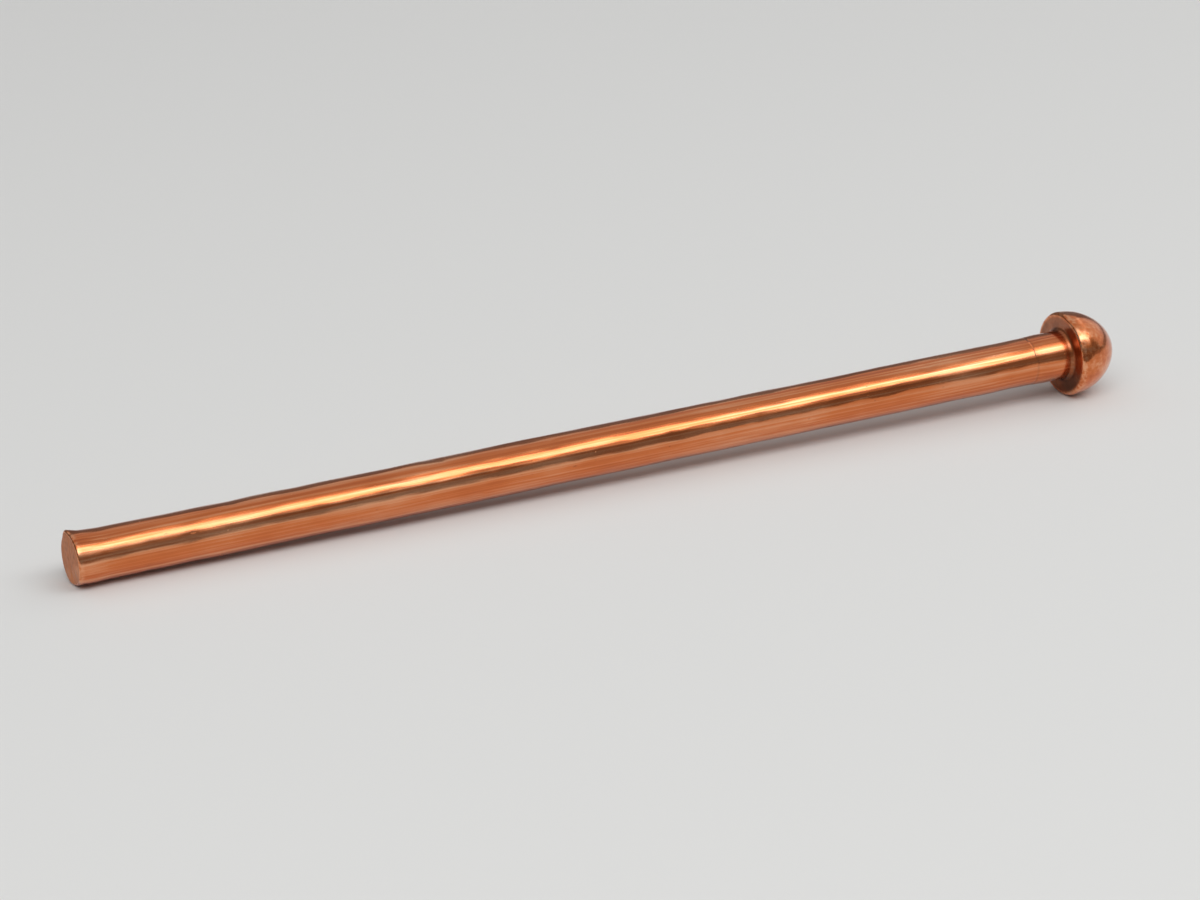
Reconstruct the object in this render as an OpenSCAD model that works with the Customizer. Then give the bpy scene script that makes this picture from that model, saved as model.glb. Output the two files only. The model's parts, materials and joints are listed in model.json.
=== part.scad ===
// Copper-plated weld stud: one length of drawn wire, cold-headed to a dome and sheared at the tail.
// It lies as it comes to rest on a level surface, on the rim of its head and the edge of its tail.
// +X points from the tail to the head, and the origin is on the surface under the middle of the stud.

/* [Shank] */
// Diameter of the drawn wire
shank_d = 2.2; // [1.8:0.1:2.8]
// Length from the tail face to the nose of the head
overall_length = 50.8; // [30:0.1:80]

/* [Head] */
// Diameter of the head at its rim
head_d = 3.9; // [3.7:0.05:6]
// Height from the flat underside to the nose
head_height = 2.55; // [1.8:0.05:4]
// Radius that rounds the rim under the dome
rim_radius = 0.18; // [0.08:0.01:0.3]

/* [Neck] */
// How much wider than the shank heading leaves the neck, across its diameter
neck_swell = 0.06; // [0.02:0.01:0.5]
// Length of the swell, from the underside to its taper
neck_length = 1.3; // [0.4:0.05:3]
// Length of the taper from the swell to the shank
neck_taper = 0.6; // [0.55:0.05:1.5]
// Radius of the fillet where the neck meets the underside
root_fillet = 0.2; // [0.05:0.01:0.3]

/* [Tail] */
// How much wider than the shank the shear leaves the tail, across its diameter
tail_spread = 0.1; // [0.02:0.01:0.4]
// Length of the spread tail, from its face to its taper
tail_length = 0.5; // [0.3:0.05:2]
// Length of the taper from the tail to the shank
tail_taper = 0.9; // [0.1:0.05:2]
// Radius that rounds the edge of the tail face
tail_edge_radius = 0.12; // [0.05:0.01:0.25]

/* [Hidden] */
$fn = 96;

copper = [0.80, 0.46, 0.27];

shank_r = shank_d / 2;
head_r = head_d / 2;
neck_r = (shank_d + neck_swell) / 2;
tail_r = (shank_d + tail_spread) / 2;

// Heights along the axis, from the tail face
tail_end = tail_length + tail_taper;
underside = overall_length - head_height;
neck_start = underside - neck_length;
shank_end = neck_start - neck_taper;
rim_top = underside + rim_radius;

// The dome is two arcs on one tangent: a flank that leaves the rim upright, and a blunt nose on the axis.
// The line through both centres leans as a 3-4-5 triangle does, so the arcs meet on plain decimal values.
lean_out = 3 / 5;
lean_up = 4 / 5;
dome_height = head_height - rim_radius;
arc_difference = (dome_height - head_r) / (lean_out + lean_up - 1);
flank_radius = head_r + arc_difference * lean_out;
nose_radius = dome_height - arc_difference * lean_up;
nose_start = flank_radius * lean_up;
nose_foot_r = nose_radius * lean_out;

// At rest the floor touches two roundings from below, that of the rim and that of the tail edge
contact_run = rim_top - tail_edge_radius;
contact_rise = (head_r - rim_radius) - (tail_r - tail_edge_radius);
contact_span = norm([contact_run, contact_rise]);
lie_angle = atan2(contact_rise, contact_run) + asin((rim_radius - tail_edge_radius) / contact_span);

// Where the tilted stud starts and ends along X, and how far its tail's centre lies above the floor
tail_ring_r = tail_r - tail_edge_radius;
tail_reach = tail_edge_radius * (cos(lie_angle) - 1) - tail_ring_r * sin(lie_angle);
nose_reach = (overall_length - nose_radius) * cos(lie_angle) + nose_radius;
middle_x = (tail_reach + nose_reach) / 2;
tail_lift = tail_edge_radius * (1 - sin(lie_angle)) + tail_ring_r * cos(lie_angle);

// In the profile, X is the radius and Y runs up the axis from the tail face.
// A straight slab from the axis out to one radius
module slab(radius, bottom, top) {
    translate([0, bottom]) square([radius, top - bottom]);
}

// A slab whose radius changes evenly from bottom to top
module taper(bottom_r, bottom, top_r, top) {
    polygon([[0, bottom], [bottom_r, bottom], [top_r, top], [0, top]]);
}

// A slab that starts at bottom with a rounded outer edge
module rounded_foot(radius, bottom, edge_radius) {
    inner_r = radius - edge_radius;
    slab(inner_r, bottom, bottom + edge_radius);
    translate([inner_r, bottom + edge_radius]) intersection() {
        circle(edge_radius);
        translate([0, -edge_radius]) square(edge_radius);
    }
}

module tail_profile() {
    rounded_foot(tail_r, 0, tail_edge_radius);
    slab(tail_r, tail_edge_radius, tail_length);
    taper(tail_r, tail_length, shank_r, tail_end);
}

module shank_profile() {
    slab(shank_r, tail_end, shank_end);
}

module neck_profile() {
    fillet_start = underside - root_fillet;
    taper(shank_r, shank_end, neck_r, neck_start);
    slab(neck_r, neck_start, fillet_start);
    difference() {
        slab(neck_r + root_fillet, fillet_start, underside);
        translate([neck_r + root_fillet, fillet_start]) circle(root_fillet);
    }
}

module head_profile() {
    rounded_foot(head_r, underside, rim_radius);
    translate([0, rim_top]) {
        slab(nose_foot_r, 0, nose_start);
        intersection() {
            translate([head_r - flank_radius, 0]) circle(flank_radius);
            slab(head_d, 0, nose_start);
        }
        intersection() {
            translate([0, dome_height - nose_radius]) circle(nose_radius);
            slab(head_d, nose_start, head_height);
        }
    }
}

module stud() {
    color(copper)
    translate([-middle_x, 0, tail_lift])
    rotate([0, 90 - lie_angle, 0])
    rotate_extrude() {
        tail_profile();
        shank_profile();
        neck_profile();
        head_profile();
    }
}

stud();
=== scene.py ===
import json
import math
import random

import bmesh
import bpy
from mathutils import Matrix, Vector


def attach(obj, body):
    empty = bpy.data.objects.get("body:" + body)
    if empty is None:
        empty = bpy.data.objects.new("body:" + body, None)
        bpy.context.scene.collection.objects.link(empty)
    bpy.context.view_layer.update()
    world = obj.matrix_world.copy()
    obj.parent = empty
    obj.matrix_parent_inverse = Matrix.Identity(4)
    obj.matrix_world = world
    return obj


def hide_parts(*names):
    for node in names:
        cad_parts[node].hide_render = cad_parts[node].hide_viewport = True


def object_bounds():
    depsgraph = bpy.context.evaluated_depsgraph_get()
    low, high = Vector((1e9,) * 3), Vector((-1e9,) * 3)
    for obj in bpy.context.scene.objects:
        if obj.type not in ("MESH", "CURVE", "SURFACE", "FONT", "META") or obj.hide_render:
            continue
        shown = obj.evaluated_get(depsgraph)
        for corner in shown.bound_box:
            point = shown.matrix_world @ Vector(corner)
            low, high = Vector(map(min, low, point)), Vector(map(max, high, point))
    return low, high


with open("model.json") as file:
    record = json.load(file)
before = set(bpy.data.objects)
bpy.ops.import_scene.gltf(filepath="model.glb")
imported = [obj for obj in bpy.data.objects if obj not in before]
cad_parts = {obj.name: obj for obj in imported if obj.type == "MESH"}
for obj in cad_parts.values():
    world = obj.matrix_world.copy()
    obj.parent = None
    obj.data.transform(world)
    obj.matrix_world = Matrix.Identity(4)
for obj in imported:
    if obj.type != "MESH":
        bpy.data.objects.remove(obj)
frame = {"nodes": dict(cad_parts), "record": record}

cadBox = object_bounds()
mm = 0.001
mounts = {mount["name"]: mount for mount in frame["record"]["mounts"]}
print("frame loaded, nodes:", ", ".join(frame["nodes"]))

# Where the stud lies, taken from the frame's mounts
tailPlace = Vector(mounts["tail_face"]["pos_m"])
nosePlace = Vector(mounts["weld_nose"]["pos_m"])
studMiddle = (tailPlace + nosePlace) / 2
studAxis = (nosePlace - tailPlace).normalized()
lieAngle = math.asin(studAxis.z)


def alongStud(mountName):
    return (Vector(mounts[mountName]["pos_m"]) - tailPlace).dot(studAxis) / mm


# Sizes in mm: along the axis from the tail face, and out from the axis
studShape = {
    "length": alongStud("weld_nose"),
    "underside": alongStud("head_underside"),
    "shankMiddle": alongStud("shank"),
    "shankLength": mounts["shank"]["dims"]["length_mm"],
    "shankRadius": mounts["shank"]["dims"]["r_mm"],
    "headRadius": cadBox[1][1] / mm,
    "tailBlock": 0.5,  # length of wire that the shear spreads
    "tailSpread": 0.05,
    "tailEdge": 0.12,
    "neckTaper": 0.6,
    "neckSwell": 0.03,
    "rootFillet": 0.2,
    "rimRadius": 0.18,
    "domeLean": (0.6, 0.8),  # out and along, where the dome's two arcs meet
    "wireGap": 0.25,  # longest edge along the wire
    "flatGap": 0.11,  # longest edge on the flat ends
    "mergeGap": 0.002,
    "tailMargin": 0.3,  # length at the tail without waves
    "flatMargin": 0.05,  # width without waves beside the underside and round the sheared end
    "turnSteps": 160,
    "edgeSteps": 8,
    "flankSteps": 24,
    "noseSteps": 14,
    "smoothAngle": 35,
}
underside = studShape["underside"]
headRadius = studShape["headRadius"]
tailRadius = studShape["shankRadius"] + studShape["tailSpread"]
neckRadius = studShape["shankRadius"] + studShape["neckSwell"]
tailFlat = tailRadius - studShape["tailEdge"]
rimFlat = headRadius - studShape["rimRadius"]
shankStart = studShape["shankMiddle"] - studShape["shankLength"] / 2
shankEnd = studShape["shankMiddle"] + studShape["shankLength"] / 2
neckStart = shankEnd + studShape["neckTaper"]
filletStart = underside - studShape["rootFillet"]
rimTop = underside + studShape["rimRadius"]
rimMiddle = (underside + rimTop) / 2


def makeActive(piece):
    bpy.ops.object.select_all(action="DESELECT")
    piece.select_set(True)
    bpy.context.view_layer.objects.active = piece


def beginProfile(name):
    bpy.ops.object.select_all(action="DESELECT")
    bpy.ops.mesh.primitive_plane_add(size=mm)
    profile = bpy.context.object
    profile.name = profile.data.name = name
    bpy.ops.mesh.uv_texture_remove()
    bpy.ops.object.mode_set(mode="EDIT")
    bpy.ops.mesh.select_mode(type="VERT")
    bpy.ops.mesh.merge(type="CENTER")  # one point on the axis to draw from
    return profile


def drawLine(pen, along, out):
    end = Vector((along, 0, out)) * mm
    bpy.ops.mesh.extrude_vertices_move(TRANSFORM_OT_translate={"value": end - pen})
    return end


# A positive turn bulges out, a negative one is a fillet
def drawArc(pen, along, out, turn, steps):
    centre = Vector((along, 0, out)) * mm
    bpy.ops.mesh.spin(steps=steps, angle=turn, center=centre, axis=(0, -1, 0), use_auto_merge=False)
    return centre + Matrix.Rotation(turn, 3, "Y") @ (pen - centre)


# Cuts each long edge of the profile, one at a time, so that the turned mesh has even loops
def cutLongEdges(profile):
    bpy.ops.mesh.select_mode(type="EDGE")
    while True:
        for edge in bmesh.from_edit_mesh(profile.data).edges:
            run = edge.verts[1].co - edge.verts[0].co
            gap = studShape["flatGap"] if abs(run.x) < abs(run.z) else studShape["wireGap"]
            pieces = math.ceil(round(run.length / (gap * mm), 2))
            if pieces > 1:
                break
        else:
            return
        bpy.ops.mesh.select_all(action="DESELECT")
        edge.select_set(True)
        bmesh.update_edit_mesh(profile.data)
        bpy.ops.mesh.subdivide(number_cuts=pieces - 1)


def turnStud():
    shape = studShape
    steps = shape["edgeSteps"]
    quarter = math.radians(90)
    leanOut, leanUp = shape["domeLean"]
    domeHeight = shape["length"] - rimTop
    arcDifference = (domeHeight - headRadius) / (leanOut + leanUp - 1)
    flankRadius = headRadius + arcDifference * leanOut
    noseRadius = domeHeight - arcDifference * leanUp
    flankTurn = math.atan2(leanUp, leanOut)

    stud = beginProfile("copper_stud")
    pen = Vector((0, 0, 0))
    pen = drawLine(pen, 0, tailFlat)
    pen = drawArc(pen, shape["tailEdge"], tailFlat, quarter, steps)
    pen = drawLine(pen, shape["tailBlock"], tailRadius)
    pen = drawLine(pen, shankStart, shape["shankRadius"])
    pen = drawLine(pen, shankEnd, shape["shankRadius"])
    pen = drawLine(pen, neckStart, neckRadius)
    pen = drawLine(pen, filletStart, neckRadius)
    pen = drawArc(pen, filletStart, neckRadius + shape["rootFillet"], -quarter, steps)
    pen = drawLine(pen, underside, rimFlat)
    pen = drawArc(pen, rimTop, rimFlat, quarter, steps)
    pen = drawArc(pen, rimTop, headRadius - flankRadius, flankTurn, shape["flankSteps"])
    drawArc(pen, shape["length"] - noseRadius, 0, quarter - flankTurn, shape["noseSteps"])
    cutLongEdges(stud)

    mergeGap = shape["mergeGap"] * mm
    bpy.ops.mesh.select_all(action="SELECT")
    bpy.ops.mesh.spin(steps=shape["turnSteps"], angle=math.tau, center=(0, 0, 0), axis=(1, 0, 0))
    bpy.ops.mesh.select_all(action="SELECT")
    bpy.ops.mesh.remove_doubles(threshold=mergeGap)
    bpy.ops.mesh.normals_make_consistent(inside=False)
    bpy.ops.object.mode_set(mode="OBJECT")
    for face in stud.data.polygons:
        face.material_index = int(face.center.x < mergeGap)  # the sheared end takes the second finish
    print("stud turned:", len(stud.data.polygons), "faces")
    return stud


stud = turnStud()

# Slow waves that drawing, heading and shearing leave, in mm: one grain's length and width,
# the height of a wave, and the stretch along the stud and out from its axis that it covers
surfaceWaves = {
    "wireWave": {
        "grain": (5.0, 1.3, 1.3),
        "strength": 0.050,
        "along": (studShape["tailMargin"], shankEnd),
        "out": math.inf,
    },
    "wireRipple": {
        "grain": (1.8, 0.6, 0.6),
        "strength": 0.029,
        "along": (studShape["tailMargin"], filletStart),
        "out": math.inf,
    },
    "headWave": {
        "grain": (1.0, 1.0, 1.0),
        "strength": 0.022,
        "along": (underside + studShape["flatMargin"], math.inf),
        "out": math.inf,
    },
    "shearGrain": {
        "grain": (0.5, 0.20, 0.45),
        "strength": 0.045,
        "along": (-math.inf, studShape["mergeGap"]),
        "out": tailFlat - studShape["flatMargin"],
    },
}


def waveSurface(stud, name, wave):
    start, end = wave["along"]
    group = stud.vertex_groups.new(name=name)
    for vert in stud.data.vertices:
        if start < vert.co.x / mm < end and vert.co.yz.length / mm < wave["out"]:
            group.add([vert.index], 1, "REPLACE")
    grain = bpy.data.textures.new(name, "CLOUDS")
    grain.noise_scale = 1
    bpy.ops.object.empty_add()
    ruler = bpy.context.object
    ruler.scale = Vector(wave["grain"]) * mm
    makeActive(stud)
    push = stud.modifiers.new(name, "DISPLACE")
    push.texture = grain
    push.texture_coords = "OBJECT"
    push.texture_coords_object = ruler
    push.vertex_group = name
    push.strength = wave["strength"] * mm
    bpy.ops.object.modifier_apply(modifier=name)
    stud.vertex_groups.remove(stud.vertex_groups[name])
    bpy.data.objects.remove(ruler)


for name, wave in surfaceWaves.items():
    waveSurface(stud, name, wave)
print("waves pressed into the surface:", ", ".join(surfaceWaves))

# Marks of handling and of the shear, in mm; angles from +Y towards +Z, moves along and out
wearMarks = {
    "seed": 7,
    "wireNicks": {"count": 46, "depth": (0.007, 0.026), "reach": (0.22, 0.55)},
    "wireDents": {"count": 12, "depth": (0.008, 0.02), "reach": (0.6, 1.2)},
    "rimNicks": {"count": 5, "depth": (0.014, 0.052), "reach": (0.3, 0.4)},
    "rollOver": {"angle": 246, "move": (0.07, -0.05), "reach": 0.9},
    "shearLip": {"angle": 66, "move": (-0.03, 0.12), "reach": 0.55},
}


# Pulls the surface point nearest to a place, with a soft reach round it
def pullSurface(stud, along, out, angle, move, reach):
    outward = Vector((0, math.cos(angle), math.sin(angle)))
    place = (Vector((along, 0, 0)) + outward * out) * mm
    verts = bmesh.from_edit_mesh(stud.data).verts
    bpy.ops.mesh.select_all(action="DESELECT")
    min(verts, key=lambda vert: (vert.co - place).length_squared).select_set(True)
    bmesh.update_edit_mesh(stud.data)
    bpy.ops.transform.translate(
        value=(Vector((move[0], 0, 0)) + outward * move[1]) * mm,
        use_proportional_edit=True,
        proportional_edit_falloff="SMOOTH",
        proportional_size=reach * mm,
    )


def markStud(stud):
    dice = random.Random(wearMarks["seed"])
    makeActive(stud)
    bpy.ops.object.mode_set(mode="EDIT")
    bpy.ops.mesh.select_mode(type="VERT")
    for name in ("rollOver", "shearLip"):
        mark = wearMarks[name]
        pullSurface(stud, 0, tailRadius, math.radians(mark["angle"]), mark["move"], mark["reach"])
    onWire = (shankStart, shankEnd, studShape["shankRadius"])
    onRim = (rimTop, rimTop, headRadius)
    for name, (start, end, out) in {"wireNicks": onWire, "wireDents": onWire, "rimNicks": onRim}.items():
        marks = wearMarks[name]
        for _ in range(marks["count"]):
            along = dice.uniform(start, end)
            angle = dice.uniform(0, math.tau)
            depth = dice.uniform(*marks["depth"])
            pullSurface(stud, along, out, angle, (0, -depth), dice.uniform(*marks["reach"]))
        print("marks made:", marks["count"], name)
    bpy.ops.object.mode_set(mode="OBJECT")


markStud(stud)


# Node helpers: an input takes a value or the socket that feeds it
def addNode(tree, kind, inputs, **settings):
    node = tree.nodes.new("ShaderNode" + kind)
    for key, value in settings.items():
        setattr(node, key, value)
    for key, value in inputs.items():
        if isinstance(value, bpy.types.NodeSocket):
            tree.links.new(value, node.inputs[key])
        else:
            node.inputs[key].default_value = value
    return node


def calculate(tree, operation, first, second=0.0):
    return addNode(tree, "Math", {0: first, 1: second}, operation=operation).outputs[0]


def addShare(tree, total, value, share):
    return addNode(tree, "Math", {0: value, 1: share, 2: total}, operation="MULTIPLY_ADD").outputs[0]


def blendIn(tree, value, low, high, toLow=0.0, toHigh=1.0):
    limits = {"Value": value, "From Min": low, "From Max": high, "To Min": toLow, "To Max": toHigh}
    return addNode(tree, "MapRange", limits, interpolation_type="SMOOTHSTEP").outputs[0]


# 1 round a place along the stud, faded to 0 at a distance from it
def bandAt(tree, along, place, full, fade):
    distance = calculate(tree, "ABSOLUTE", calculate(tree, "SUBTRACT", along, place))
    return blendIn(tree, distance, full, fade, 1, 0)


# Lays one colour over another where the mask is 1, by a share
def layOver(tree, colour, over, mask, share=1.0):
    amount = calculate(tree, "MULTIPLY", mask, share)
    mixed = {0: amount, 6: colour, 7: over}  # a colour Mix has its colours at 6 and 7
    return addNode(tree, "Mix", mixed, data_type="RGBA").outputs[2]


def grainNoise(tree, place, perMm, detail, roughness=0.55):
    scaled = addNode(tree, "Mapping", {"Vector": place, "Scale": perMm})
    inputs = {"Vector": scaled.outputs[0], "Scale": 1, "Detail": detail, "Roughness": roughness}
    return addNode(tree, "TexNoise", inputs).outputs[0]


# Thin marks at scattered points: 1 on a mark's core, 0 outside it; only a share of the points is used
def scatterMarks(tree, place, perMm, width, share, turn=(0, 0, 0), core=0.4):
    turned = addNode(tree, "Mapping", {"Vector": place, "Rotation": turn})
    scaled = addNode(tree, "Mapping", {"Vector": turned.outputs[0], "Scale": perMm})
    cells = addNode(tree, "TexVoronoi", {"Vector": scaled.outputs[0], "Scale": 1})
    pick = addNode(tree, "SeparateColor", {"Color": cells.outputs["Color"]}).outputs[0]
    used = calculate(tree, "LESS_THAN", pick, share)
    near = blendIn(tree, cells.outputs["Distance"], width * core, width, 1, 0)
    return calculate(tree, "MULTIPLY", near, used)


# Millimetres along and across the stud, from Object coordinates
def studSpace(tree):
    here = addNode(tree, "TexCoord", {}).outputs["Object"]
    shift = Matrix.Rotation(lieAngle, 3, "Y") @ tailPlace / -mm
    turn = {"Vector": here, "Location": shift, "Rotation": (0, lieAngle, 0), "Scale": (1 / mm,) * 3}
    return addNode(tree, "Mapping", turn).outputs[0]


def newFinish(name):
    finish = bpy.data.materials.new(name)
    finish.use_nodes = True
    finish.node_tree.nodes.clear()
    return finish, finish.node_tree


def addShader(tree, inputs):
    shader = addNode(tree, "BsdfPrincipled", inputs)
    addNode(tree, "OutputMaterial", {"Surface": shader.outputs[0]})


# Copper plate on drawn wire under a clear film; colours are linear, patterns in grains per mm
copperPlate = {
    "deep": (0.46, 0.088, 0.018, 1),
    "main": (0.68, 0.183, 0.049, 1),
    "bright": (0.85, 0.40, 0.21, 1),
    "soil": (0.17, 0.070, 0.036, 1),
    # A dark tone painted into the corner under the head as shade
    "cornerTone": (0.15, 0.047, 0.016, 1),
    "toneStops": (0.33, 0.49, 0.64),  # where deep, main and bright stand
    "toneShares": {"lines": 0.45, "broadLines": 0.25, "tarnish": 0.30},
    "fineLines": {"perMm": (0.05, 9, 9), "detail": 3},
    "broadLines": {"perMm": (0.025, 2.6, 2.6), "detail": 2},
    "tarnish": {"perMm": (0.2, 0.65, 0.65), "detail": 5},
    "headGrain": {"perMm": (5, 5, 5), "detail": 4},
    "headTone": (0.25, 0.75),
    "pits": {"perMm": (0.8, 2.0, 2.0), "width": 0.13, "share": 0.2},
    "scratches": {"perMm": (0.12, 4.5, 4.5), "width": 0.16, "share": 0.22},
    "crossScratches": {
        "perMm": (0.35, 5.5, 5.5),
        "width": 0.14,
        "share": 0.10,
        "turn": (0.2, 0.35, 0.5),
    },
    "markSoil": 0.45,
    "scratchShine": 0.35,
    "headFade": 0.1,  # mm either side of the underside, over which the wire's lines end
    "dieRing": {"full": 0.02, "fade": 0.10},  # mm, where the heading die gripped the wire
    "ringSoil": 0.2,
    "corner": {
        "full": 0.08,  # mm along from the underside
        "fade": 0.40,
        "start": 0.54,  # mm out from the neck
        "end": 0.09,  # mm out from the flat underside
    },
    "cornerPatches": (0.35, 0.65),  # tarnish at which the painted shade is least and most
    # How much painted shade lies in the corner, where the tarnish is low and where it is high
    "cornerSoil": (0.55, 0.9),
    "bareRim": {"full": 0.05, "fade": 0.22},  # mm along, either side of the rim's rounding
    "bareRimWidth": (0.25, 0.05),  # mm in from the rim
    "bareTail": (0.05, 0.3),  # mm along from the tail face
    "barePatches": (0.38, 0.6),  # grain at which an edge is plated and bare
    "edgeShine": 0.7,
    "dullShares": {"tarnish": 0.7, "lines": 0.45, "onHead": 0.10, "marks": 0.5, "corner": 0.6},
    "dullStart": -0.1,
    "dullRange": (0.25, 0.95),  # the sum of the shares at the least and the most roughness
    "roughness": (0.13, 0.31),
    "reliefShares": {
        "fineLines": 1.0,
        "broadLines": 1.6,
        "peel": 1.2,
        "scratches": -0.5,
        "marks": -1.0,
        "dieRing": -4.0,
    },
    "lineDepth": 0.0028,  # mm
    "filmWeight": 0.35,
    "filmRoughness": 0.12,
    "filmIor": 1.6,
}


# 1 in the corner between neck and underside, faded to 0 along the wire and at the rim: where the shade under
# the head is painted
def underHead(tree, along, out, full, fade, start, end):
    byUnderside = bandAt(tree, along, underside, full, fade)
    byNeck = blendIn(tree, out, neckRadius + start, rimFlat + end, 1, 0)
    return calculate(tree, "MULTIPLY", byUnderside, byNeck)


def copperPatterns(tree):
    plate = copperPlate
    place = studSpace(tree)
    axes = addNode(tree, "SeparateXYZ", {"Vector": place}).outputs
    along = axes["X"]
    across = addNode(tree, "CombineXYZ", {"Y": axes["Y"], "Z": axes["Z"]}).outputs[0]
    out = addNode(tree, "VectorMath", {0: across}, operation="LENGTH").outputs["Value"]
    onHead = blendIn(tree, along, underside - plate["headFade"], underside + plate["headFade"])
    fineLines = grainNoise(tree, place, **plate["fineLines"])
    headGrain = grainNoise(tree, place, **plate["headGrain"])
    headTone = blendIn(tree, headGrain, 0, 1, *plate["headTone"])
    pits = scatterMarks(tree, place, **plate["pits"])
    crossScratches = scatterMarks(tree, place, **plate["crossScratches"])
    return {
        "along": along,
        "out": out,
        "onHead": onHead,
        "fineLines": calculate(tree, "MULTIPLY", fineLines, calculate(tree, "SUBTRACT", 1.0, onHead)),
        "broadLines": grainNoise(tree, place, **plate["broadLines"]),
        "lines": addNode(tree, "Mix", {0: onHead, 2: fineLines, 3: headTone}).outputs[0],
        "tarnish": grainNoise(tree, place, **plate["tarnish"]),
        "headGrain": headGrain,
        "peel": calculate(tree, "MULTIPLY", headGrain, onHead),
        "marks": calculate(tree, "MAXIMUM", pits, crossScratches),
        "scratches": scatterMarks(tree, place, **plate["scratches"]),
        "dieRing": bandAt(tree, along, shankEnd, **plate["dieRing"]),
        "corner": underHead(tree, along, out, **plate["corner"]),
    }


def addShares(tree, patterns, shares, start=0.0):
    total = start
    for name, share in shares.items():
        total = addShare(tree, total, patterns[name], share)
    return total


# Streaks and tarnish first, then soil in the marks, then painted shade in the corner under the head, then
# bare edges
def copperColour(tree, patterns):
    plate = copperPlate
    along, out = patterns["along"], patterns["out"]
    ramp = addNode(tree, "ValToRGB", {"Fac": addShares(tree, patterns, plate["toneShares"])})
    stops = ramp.color_ramp.elements
    stops.new(plate["toneStops"][1])
    for stop, position, name in zip(stops, plate["toneStops"], ("deep", "main", "bright")):
        stop.position = position
        stop.color = plate[name]
    colour = layOver(tree, ramp.outputs[0], plate["soil"], patterns["marks"], plate["markSoil"])
    colour = layOver(tree, colour, plate["bright"], patterns["scratches"], plate["scratchShine"])
    colour = layOver(tree, colour, plate["soil"], patterns["dieRing"], plate["ringSoil"])

    # Painted shade in the corner under the head, broken up by the tarnish
    soil = blendIn(tree, patterns["tarnish"], *plate["cornerPatches"], *plate["cornerSoil"])
    colour = layOver(tree, colour, plate["cornerTone"], calculate(tree, "MULTIPLY", patterns["corner"], soil))

    rimStart, rimEnd = plate["bareRimWidth"]
    byRim = blendIn(tree, out, headRadius - rimStart, headRadius - rimEnd)
    rim = calculate(tree, "MULTIPLY", bandAt(tree, along, rimMiddle, **plate["bareRim"]), byRim)
    edges = calculate(tree, "MAXIMUM", rim, blendIn(tree, along, *plate["bareTail"], 1, 0))
    bare = calculate(tree, "MULTIPLY", edges, blendIn(tree, patterns["headGrain"], *plate["barePatches"]))
    return layOver(tree, colour, plate["bright"], bare, plate["edgeShine"])


def makeCopperPlate():
    plate = copperPlate
    finish, tree = newFinish("copperPlate")
    patterns = copperPatterns(tree)
    dull = addShares(tree, patterns, plate["dullShares"], plate["dullStart"])
    relief = addShares(tree, patterns, plate["reliefShares"])
    bump = addNode(tree, "Bump", {"Height": relief, "Distance": plate["lineDepth"] * mm})
    addShader(tree, {
        "Base Color": copperColour(tree, patterns),
        "Metallic": 1,
        "Roughness": blendIn(tree, dull, *plate["dullRange"], *plate["roughness"]),
        "Normal": bump.outputs[0],
        "Coat Weight": plate["filmWeight"],
        "Coat Roughness": plate["filmRoughness"],
        "Coat IOR": plate["filmIor"],
    })
    return finish


# Sheared end: a burnished crescent, then a torn and duller face
shearedFace = {
    "burnished": (0.68, 0.255, 0.10, 1),
    "torn": (0.55, 0.205, 0.088, 1),
    "speck": (0.27, 0.10, 0.046, 1),
    "crescent": (0.55, 1.15),  # mm from the centre over which torn turns to burnished
    "lines": {"perMm": (1, 8, 0.6), "detail": 4},
    "grain": {"perMm": (7, 9, 5), "detail": 6},
    "patches": {"perMm": (1.8, 1.8, 1.8), "detail": 4},
    "patchShift": 0.9,  # mm
    "lineShare": (0.3, 0.8),  # on the torn part and on the crescent
    "speckRange": (0.30, 0.52),
    "speckAmount": 0.8,
    "roughness": (0.50, 0.34),  # torn, burnished
    "depth": 0.012,  # mm
}


def makeShearedFace():
    face = shearedFace
    finish, tree = newFinish("shearedFace")
    entryTurn = math.radians(90 - wearMarks["rollOver"]["angle"])  # turns +Z to where the blade went in
    turned = addNode(tree, "Mapping", {"Vector": studSpace(tree), "Rotation": (entryTurn, 0, 0)}).outputs[0]
    towardsEntry = addNode(tree, "SeparateXYZ", {"Vector": turned}).outputs["Z"]
    patches = grainNoise(tree, turned, **face["patches"])
    edge = addShare(tree, towardsEntry, patches, face["patchShift"])
    burnish = blendIn(tree, edge, *face["crescent"])
    mixed = {
        0: blendIn(tree, burnish, 0, 1, *face["lineShare"]),
        2: grainNoise(tree, turned, **face["grain"]),
        3: grainNoise(tree, turned, **face["lines"]),
    }
    texture = addNode(tree, "Mix", mixed).outputs[0]
    specks = blendIn(tree, texture, *face["speckRange"], face["speckAmount"], 0)
    colour = layOver(tree, face["torn"], face["burnished"], burnish)
    bump = addNode(tree, "Bump", {"Height": texture, "Distance": face["depth"] * mm})
    addShader(tree, {
        "Base Color": layOver(tree, colour, face["speck"], specks),
        "Metallic": 1,
        "Roughness": blendIn(tree, burnish, 0, 1, *face["roughness"]),
        "Normal": bump.outputs[0],
    })
    return finish


def dressStud(stud):
    stud.data.materials.append(makeCopperPlate())
    stud.data.materials.append(makeShearedFace())


# The turned stud has its tail at the origin; this puts its place and tilt into its mesh
def layDown(stud):
    makeActive(stud)
    stud.location = tailPlace
    stud.rotation_euler = (0, -lieAngle, 0)
    bpy.ops.object.transform_apply(location=True, rotation=True, scale=True)
    bpy.ops.object.shade_smooth_by_angle(angle=math.radians(studShape["smoothAngle"]))


dressStud(stud)
layDown(stud)
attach(stud, "root")
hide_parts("stud")
print("stud dressed and laid down")

# A plain pale floor
floorPaint = {"size": 6, "colour": (0.72, 0.72, 0.71, 1), "roughness": 0.75}


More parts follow.
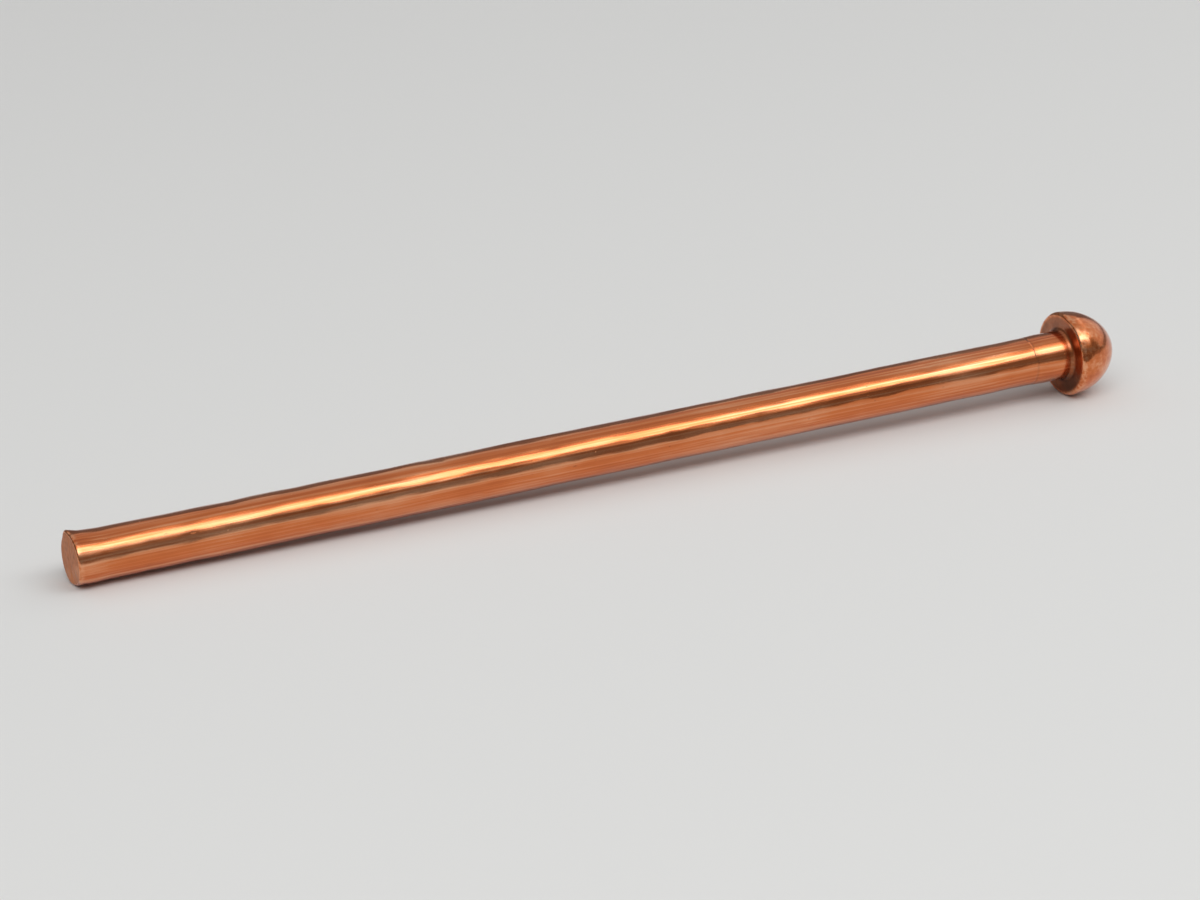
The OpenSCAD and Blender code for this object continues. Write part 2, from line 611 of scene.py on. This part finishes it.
def addFloor():
    bpy.ops.object.select_all(action="DESELECT")
    bpy.ops.mesh.primitive_plane_add(size=floorPaint["size"])
    floor = bpy.context.object
    floor.name = "floor"
    finish, tree = newFinish("floorPaint")
    addShader(tree, {"Base Color": floorPaint["colour"], "Roughness": floorPaint["roughness"]})
    floor.data.materials.append(finish)


addFloor()

# Soft boxes by direction in degrees, sizes and distance in metres; level is their brightness
softBoxes = {
    "overheadBox": {"azimuth": 180, "elevation": 75, "distance": 0.42, "size": (0.9, 0.62), "level": 0.40},
    "frontBox": {"azimuth": 0, "elevation": 57, "distance": 0.40, "size": (0.8, 0.34), "level": 0.6},
    "frontStrip": {"azimuth": 0, "elevation": 57, "distance": 0.38, "size": (0.8, 0.17), "level": 2.4},
    "headBox": {"azimuth": 98, "elevation": 27, "distance": 0.40, "size": (0.38, 0.30), "level": 0.55},
}
worldGlow = {"colour": (1, 1, 1, 1), "level": 0.20}


def directionTo(azimuth, elevation):
    side, rise = math.radians(azimuth), math.radians(elevation)
    return Vector((math.sin(side) * math.cos(rise), -math.cos(side) * math.cos(rise), math.sin(rise)))


def addSoftBoxes():
    for name, box in softBoxes.items():
        away = directionTo(box["azimuth"], box["elevation"])
        bpy.ops.object.light_add(type="AREA", location=studMiddle + away * box["distance"])
        lamp = bpy.context.object
        lamp.name = name
        lamp.rotation_euler = away.to_track_quat("Z", "Y").to_euler()
        lamp.data.shape = "RECTANGLE"
        lamp.data.size, lamp.data.size_y = box["size"]
        lamp.data.energy = box["level"] * math.pi * lamp.data.size * lamp.data.size_y


def addWorld():
    world = bpy.data.worlds.new("studio")
    world.use_nodes = True
    background = world.node_tree.nodes["Background"]
    background.inputs["Color"].default_value = worldGlow["colour"]
    background.inputs["Strength"].default_value = worldGlow["level"]
    bpy.context.scene.world = world


addSoftBoxes()
addWorld()
print("floor and light set:", ", ".join(softBoxes))

# The photo's viewing angle: tail near, head far and rising to the right
viewPoint = {
    "azimuth": -27,
    "elevation": 22,
    "distance": 0.170,
    "aim": 24.4,  # mm from the tail
    "angle": 17.5,
    "clipStart": 0.005,
}


def addCamera():
    away = directionTo(viewPoint["azimuth"], viewPoint["elevation"])
    target = tailPlace + studAxis * viewPoint["aim"] * mm
    bpy.ops.object.camera_add(location=target + away * viewPoint["distance"])
    camera = bpy.context.object
    camera.rotation_euler = away.to_track_quat("Z", "Y").to_euler()
    camera.data.angle = math.radians(viewPoint["angle"])
    camera.data.clip_start = viewPoint["clipStart"]
    bpy.context.scene.camera = camera
    print("camera set at azimuth", viewPoint["azimuth"], "and elevation", viewPoint["elevation"])


addCamera()
bpy.context.scene.view_settings.view_transform = "Standard"
